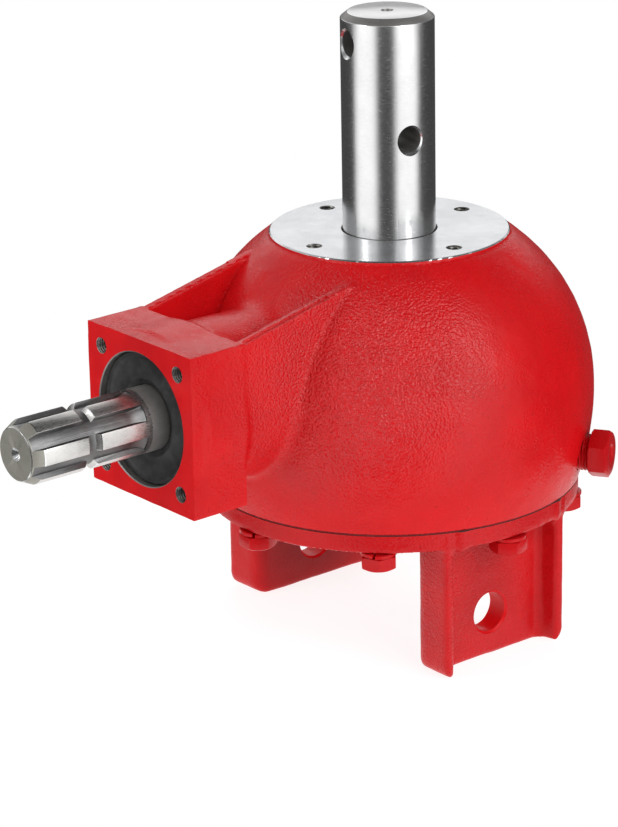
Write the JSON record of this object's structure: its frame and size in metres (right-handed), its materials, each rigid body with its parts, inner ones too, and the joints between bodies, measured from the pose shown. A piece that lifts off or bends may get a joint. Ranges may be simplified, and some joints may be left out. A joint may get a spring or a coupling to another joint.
{
  "type": "right angle bevel gearbox",
  "caption": "Right-angle bevel gearbox: ball-shaped cast housing, cross-drilled round output shaft, splined input shaft and a base cover with two pin lugs.",
  "frame": {"origin": "on the output axis, on the flat underside of the base cover", "axes": "+Z out along the output shaft, -Y out along the input shaft, the two pin lugs at -X and +X"},
  "size_m": [0.2246, 0.3636, 0.347],
  "materials": {
    "housing_paint": "gloss red paint over sand-cast iron, with machined bright faces",
    "cover_paint": "gloss red paint over cast iron",
    "fastener_paint": "red paint sprayed over steel fasteners",
    "shaft_steel": "ground steel",
    "spline_steel": "machined steel, thinly oiled",
    "gear_steel": "cut and hardened steel",
    "bearing_steel": "ground bearing steel",
    "seal_rubber": "matte black",
    "gasket": "dull fibre sheet"
  },
  "bodies": {
    "casing": {"housing": "housing_paint", "base_cover": "cover_paint", "cover_gasket": "gasket", "cover_bolt_1": "fastener_paint", "cover_bolt_2": "fastener_paint", "cover_bolt_3": "fastener_paint", "cover_bolt_4": "fastener_paint", "cover_bolt_5": "fastener_paint", "cover_bolt_6": "fastener_paint", "cover_bolt_7": "fastener_paint", "cover_bolt_8": "fastener_paint", "lock_washer_1": "fastener_paint", "lock_washer_2": "fastener_paint", "lock_washer_3": "fastener_paint", "lock_washer_4": "fastener_paint", "lock_washer_5": "fastener_paint", "lock_washer_6": "fastener_paint", "lock_washer_7": "fastener_paint", "lock_washer_8": "fastener_paint", "level_plug": "fastener_paint", "filler_plug": "fastener_paint", "upper_bearing_outer_race": "bearing_steel", "lower_bearing_outer_race": "bearing_steel", "inner_bearing_outer_race": "bearing_steel", "outer_bearing_outer_race": "bearing_steel", "output_seal": "seal_rubber", "input_seal": "seal_rubber"},
    "output_assembly": {"output_shaft": "shaft_steel", "crown_gear": "gear_steel", "crown_key": "gear_steel", "crown_spacer": "bearing_steel", "upper_bearing_inner_race": "bearing_steel", "upper_bearing_rollers": "bearing_steel", "lower_bearing_inner_race": "bearing_steel", "lower_bearing_rollers": "bearing_steel"},
    "input_assembly": {"pinion_shaft": "spline_steel", "inner_bearing_inner_race": "bearing_steel", "inner_bearing_rollers": "bearing_steel", "outer_bearing_inner_race": "bearing_steel", "outer_bearing_rollers": "bearing_steel", "bearing_spacer": "bearing_steel", "shaft_snap_ring": "bearing_steel"}
  },
  "joints": [
    {"name": "output_spin", "type": "hinge", "parent": "casing", "child": "output_assembly", "pos_m": [0, 0, 0.08], "axis": [0, 0, 1], "continuous": true},
    {"name": "input_spin", "type": "hinge", "parent": "casing", "child": "input_assembly", "pos_m": [0, -0.1, 0.08], "axis": [0, -1, 0], "continuous": true}
  ],
  "couplings": [
    {"joint": "input_spin", "follows": "output_spin", "ratio": 3.1818}
  ]
}
